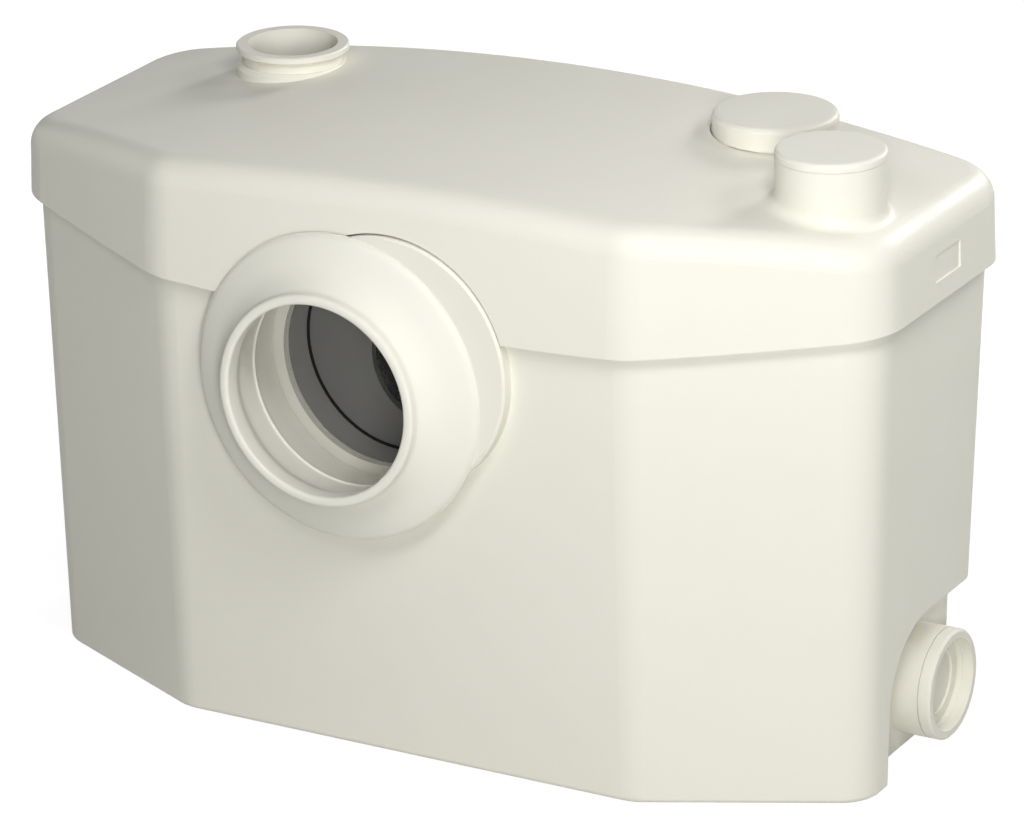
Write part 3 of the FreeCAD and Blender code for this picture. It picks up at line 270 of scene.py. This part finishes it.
def metal(name, colour, rough, stretch, scale, strength):
    """Bare metal with marks drawn out along one axis."""
    material, tree, shader, place = surface(name)
    tinted(tree, shader, place, colour, metal_drift_scale, metal_drift)
    drawn = add(tree, "ShaderNodeMapping", Vector=place, Scale=stretch)
    marks = add(tree, "ShaderNodeTexNoise", Vector=drawn.outputs["Vector"], Scale=scale, Detail=4.0)
    span = add(tree, "ShaderNodeMapRange", Value=marks.outputs["Fac"], From_Min=0.25, From_Max=0.75,
               To_Min=rough[0], To_Max=rough[1])
    tree.links.new(span.outputs["Result"], shader.inputs["Roughness"])
    grained(tree, shader, marks.outputs["Fac"], strength, mark_depth)
    shader.inputs["Metallic"].default_value = 1.0
    return material


def shaft_middle():
    low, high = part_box("shaft")
    return (low + high) / 2


def stacked(name, colour, drift, rough, strength):
    """Sheet iron stacked along the shaft: fine lines across Y."""
    material, tree, shader, place = surface(name)
    tinted(tree, shader, place, colour, *drift)
    sheets = add(tree, "ShaderNodeTexWave", {"wave_type": "BANDS", "bands_direction": "Y"},
                 Vector=place, Scale=sheet_scale, Distortion=0.4, Detail=1.0)
    uneven(tree, shader, place, *rough)
    grained(tree, shader, sheets.outputs["Fac"], strength, sheet_depth)
    shader.inputs["Metallic"].default_value = 1.0
    return material


def wound(name, colour, drift, rough, strength):
    """Enamelled wire: turns that run round the shaft."""
    material, tree, shader, place = surface(name)
    tinted(tree, shader, place, colour, *drift)
    middle = shaft_middle()
    centred = add(tree, "ShaderNodeMapping", Vector=place, Location=(-middle.x, 0.0, -middle.z))
    turns = add(tree, "ShaderNodeTexWave", {"wave_type": "RINGS", "rings_direction": "Y"},
                Vector=centred.outputs["Vector"], Scale=wire_scale, Distortion=1.2, Detail=1.0)
    uneven(tree, shader, place, *rough)
    grained(tree, shader, turns.outputs["Fac"], strength, wire_depth)
    shader.inputs["Metallic"].default_value = wire_metallic
    shader.inputs["Coat Weight"].default_value = wire_coat
    return material


def open_foam(name, colour, drift, rough, strength):
    """Open-cell foam: small round cells."""
    material, tree, shader, place = surface(name)
    tinted(tree, shader, place, colour, *drift)
    cells = add(tree, "ShaderNodeTexVoronoi", Vector=place, Scale=cell_scale)
    uneven(tree, shader, place, *rough)
    grained(tree, shader, cells.outputs["Distance"], strength, cell_depth)
    return material


def make_materials():
    materials = {name: moulded(name, *settings) for name, settings in moulds.items()}
    for name, settings in metals.items():
        materials[name] = metal(name, *settings)
    for name, make in (("laminations", stacked), ("copper", wound), ("filter_foam", open_foam)):
        materials[name] = make(name, *patterned[name])
    return materials


def paint(piece, material):
    """Give the whole piece one material."""
    if not piece.material_slots:
        piece.data.materials.append(material)
    for holder in piece.material_slots:
        holder.material = material


def mesh_object(name, bm):
    """A piece of the scene from a finished bmesh."""
    bmesh.ops.recalc_face_normals(bm, faces=bm.faces)
    mesh = bpy.data.meshes.new(name)
    bm.to_mesh(mesh)
    bm.free()
    piece = bpy.data.objects.new(name, mesh)
    bpy.context.scene.collection.objects.link(piece)
    return piece


def smooth(piece):
    for face in piece.data.polygons:
        face.use_smooth = True


def turned(name, profile, centre, steps):
    """A closed ring turned about an axis along Y, from a profile of (radius, y) points."""
    bm = bmesh.new()
    rings = []
    for radius, y in profile:
        ring = []
        for i in range(steps):
            turn = 2 * math.pi * i / steps
            spot = (centre.x + radius * math.cos(turn), y, centre.z + radius * math.sin(turn))
            ring.append(bm.verts.new(spot))
        rings.append(ring)
    for a, b in zip(rings, rings[1:] + rings[:1]):
        for i in range(steps):
            j = (i + 1) % steps
            bm.faces.new((a[i], a[j], b[j], b[i]))
    piece = mesh_object(name, bm)
    smooth(piece)
    return piece


def rounded(start, corner, end, radius, count):
    """Points that turn the corner of a profile with an arc of about this radius."""
    u = (Vector(start) - Vector(corner)).normalized()
    v = (Vector(end) - Vector(corner)).normalized()
    points = []
    for i in range(count + 1):
        t = i / count
        points.append(Vector(corner) + u * radius * (1 - t) ** 2 + v * radius * t ** 2)
    return [tuple(p) for p in points]


def make_collar(material):
    """Rubber inlet collar: mouth lip, neck, softly sagging cone and a thin flange on the boss."""
    low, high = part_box("inlet_collar")
    centre = (low + high) / 2
    front = low.y
    end = high.y
    flange_r = (high.x - low.x) / 2
    ring_low, ring_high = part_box("inlet_ring")
    sleeve_r = (ring_high.x - ring_low.x) / 2
    mouth_out = flange_r - mouth_out_inset
    mouth_in = flange_r - mouth_in_inset
    flange_back = front + flange_back_depth
    rim_front = flange_back - flange_rim
    foot = (flange_r - flange_round, rim_front - flange_round * flange_fall)
    neck = (mouth_out, front + neck_depth)
    sleeve_foot = (sleeve_r, flange_back)
    flange_edge = (flange_r, flange_back)
    flange_front = (flange_r, rim_front)
    lip_out = (mouth_out, front)
    lip_in = (mouth_in, front)
    profile = [(sleeve_r, end), (sleeve_r, end - end_ring), (sleeve_r, flange_back + flange_ring)]
    profile += rounded((sleeve_r, end), sleeve_foot, flange_edge, *root_round)
    profile += rounded(sleeve_foot, flange_edge, flange_front, *flange_back_round)
    profile += rounded(flange_edge, flange_front, foot, *flange_front_round)
    for i in range(1, cone_steps):
        t = i / cone_steps
        dip = cone_sag * math.sin(math.pi * t)
        x = foot[0] + (neck[0] - foot[0]) * t - dip
        y = foot[1] + (neck[1] - foot[1]) * t + dip
        profile.append((x, y))
    profile += rounded(profile[-1], neck, lip_out, *neck_round)
    profile += rounded(neck, lip_out, lip_in, *lip_out_round)
    profile += rounded(lip_out, lip_in, (mouth_in, front + lip_depth), *lip_in_round)
    profile += [(mouth_in + wider, front + depth) for wider, depth in throat]
    profile += [(mouth_in + throat_end - throat_end_taper, end - throat_end_ring),
                (mouth_in + throat_end, end)]
    collar = turned("rubber_collar", profile, centre, collar_steps)
    finer = collar.modifiers.new("finer", "SUBSURF")
    finer.levels = 2
    finer.render_levels = 2
    paint(collar, material)
    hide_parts("inlet_collar")
    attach(collar, "tank_body")


def cross_outline(size, width):
    """The twelve corners of a cross."""
    s = size / 2
    w = width / 2
    return [(s, -w), (s, w), (w, w), (w, s), (-w, s), (-w, w), (-s, w), (-s, -w), (-w, -w),
            (-w, -s), (w, -s), (w, -w)]


def make_screw(name, place, material):
    """Pan-head screw seen from above, with a cross recess sunk into its head."""
    bm = bmesh.new()
    count = screw_sides
    rings = []
    for share, level in screw_levels:
        radius = screw_head * share
        z = screw_height * level
        ring = []
        for i in range(count):
            turn = 2 * math.pi * i / count
            ring.append(bm.verts.new((radius * math.cos(turn), radius * math.sin(turn), z)))
        rings.append(ring)
    for a, b in zip(rings[:-1], rings[1:]):
        for i in range(count):
            j = (i + 1) % count
            bm.faces.new((a[i], a[j], b[j], b[i]))
    outline = cross_outline(screw_cross, screw_cross_width)
    top = [bm.verts.new((x, y, screw_height)) for x, y in outline]
    sunk = [bm.verts.new((x * screw_cross_taper, y * screw_cross_taper, screw_height - screw_cross_depth))
            for x, y in outline]
    for i in range(len(outline)):
        j = (i + 1) % len(outline)
        bm.faces.new((top[i], top[j], sunk[j], sunk[i]))
    bm.faces.new(sunk)
    bm.faces.new(rings[0][::-1])
    borders = [bm.edges.get((rings[-1][i], rings[-1][(i + 1) % count])) for i in range(count)]
    borders += [bm.edges.get((top[i], top[(i + 1) % len(top)])) for i in range(len(top))]
    bmesh.ops.triangle_fill(bm, edges=borders, use_beauty=True)
    screw = mesh_object(name, bm)
    screw.location = place
    paint(screw, material)
    return screw


def make_cover_screws(material):
    low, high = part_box("switch_cover")
    middle = (low + high) / 2
    for i in range(screw_count):
        turn = math.radians(screw_first + 360 * i / screw_count)
        spot = Vector((middle.x + screw_circle * math.cos(turn), middle.y + screw_circle * math.sin(turn),
                       high.z))
        screw = make_screw("cover_screw_%d" % (i + 1), spot, material)
        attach(screw, "tank_body")


def make_floor():
    """White floor: it glows to white for the camera and still takes the object's shadow."""
    bm = bmesh.new()
    bmesh.ops.create_grid(bm, x_segments=1, y_segments=1, size=floor_half)
    floor = mesh_object("floor", bm)
    material = bpy.data.materials.new("floor_white")
    material.use_nodes = True
    tree = material.node_tree
    tree.nodes.clear()
    shaded = add(tree, "ShaderNodeBsdfDiffuse", Color=(floor_albedo,) * 3 + (1.0,))
    place = add(tree, "ShaderNodeTexCoord").outputs["Object"]
    reach = add(tree, "ShaderNodeVectorMath", {"operation": "LENGTH"})
    tree.links.new(place, reach.inputs[0])
    level = add(tree, "ShaderNodeMapRange", Value=reach.outputs["Value"], From_Min=floor_near,
                From_Max=floor_far, To_Min=floor_glow_near, To_Max=floor_glow_far)
    glow = add(tree, "ShaderNodeEmission", Color=(1.0, 1.0, 1.0, 1.0), Strength=level.outputs["Result"])
    both = add(tree, "ShaderNodeAddShader")
    tree.links.new(shaded.outputs["BSDF"], both.inputs[0])
    tree.links.new(glow.outputs["Emission"], both.inputs[1])
    bounce = add(tree, "ShaderNodeBsdfDiffuse", Color=floor_bounce)
    path = add(tree, "ShaderNodeLightPath")
    seen = add(tree, "ShaderNodeMath", {"operation": "MAXIMUM"})
    tree.links.new(path.outputs["Is Camera Ray"], seen.inputs[0])
    tree.links.new(path.outputs["Is Glossy Ray"], seen.inputs[1])
    mix = add(tree, "ShaderNodeMixShader", Fac=seen.outputs["Value"])
    tree.links.new(bounce.outputs["BSDF"], mix.inputs[1])
    tree.links.new(both.outputs["Shader"], mix.inputs[2])
    output = add(tree, "ShaderNodeOutputMaterial")
    tree.links.new(mix.outputs["Shader"], output.inputs["Surface"])
    floor.data.materials.append(material)


def make_world():
    """White for camera, glossy and transmitted rays; a faint even light for the rest."""
    world = bpy.data.worlds.new("studio")
    bpy.context.scene.world = world
    world.use_nodes = True
    tree = world.node_tree
    tree.nodes.clear()
    soft = add(tree, "ShaderNodeBackground", Color=ambient_colour, Strength=ambient_level)
    white = add(tree, "ShaderNodeBackground", Color=(1.0, 1.0, 1.0, 1.0), Strength=1.0)
    path = add(tree, "ShaderNodeLightPath")
    first = add(tree, "ShaderNodeMath", {"operation": "MAXIMUM"})
    tree.links.new(path.outputs["Is Camera Ray"], first.inputs[0])
    tree.links.new(path.outputs["Is Glossy Ray"], first.inputs[1])
    second = add(tree, "ShaderNodeMath", {"operation": "MAXIMUM"})
    tree.links.new(first.outputs["Value"], second.inputs[0])
    tree.links.new(path.outputs["Is Transmission Ray"], second.inputs[1])
    mix = add(tree, "ShaderNodeMixShader", Fac=second.outputs["Value"])
    tree.links.new(soft.outputs["Background"], mix.inputs[1])
    tree.links.new(white.outputs["Background"], mix.inputs[2])
    output = add(tree, "ShaderNodeOutputWorld")
    tree.links.new(mix.outputs["Shader"], output.inputs["Surface"])


def make_lamp(name, azimuth, height, distance, watts):
    """A soft round lamp, as large for its distance as the others."""
    lamp = bpy.data.lights.new(name, "POINT")
    lamp.energy = watts
    lamp.shadow_soft_size = lamp_size * distance
    holder = bpy.data.objects.new(name, lamp)
    turn = math.radians(azimuth)
    rise = math.radians(height)
    towards = Vector((math.sin(turn) * math.cos(rise), -math.cos(turn) * math.cos(rise), math.sin(rise)))
    holder.location = lamp_aim + towards * distance
    bpy.context.scene.collection.objects.link(holder)


def make_camera():
    lens = bpy.data.cameras.new("camera")
    lens.lens = lens_mm
    lens.sensor_width = sensor_mm
    lens.sensor_fit = "HORIZONTAL"
    lens.clip_start = clip_near
    lens.clip_end = clip_far
    camera = bpy.data.objects.new("camera", lens)
    turn = Matrix((camera_right, camera_up, camera_back)).transposed().to_4x4()
    camera.matrix_world = Matrix.Translation(camera_place) @ turn
    bpy.context.scene.collection.objects.link(camera)
    bpy.context.scene.camera = camera


def dress_frame(materials):
    """Every CAD node takes the material of its slot; the band behind the mouth has one of its own."""
    for part in frame["record"]["subparts"]:
        paint(nodes[part["node"]], materials[part["material_slot"]])
    paint(nodes["chamber_rim"], materials["band_plastic"])


make_camera()
make_world()
for name, setting in lamps.items():
    make_lamp(name, *setting)
make_floor()
materials = make_materials()
dress_frame(materials)
make_collar(materials["ivory_rubber"])
make_cover_screws(materials["stainless"])
bpy.context.scene.view_settings.view_transform = "Standard"
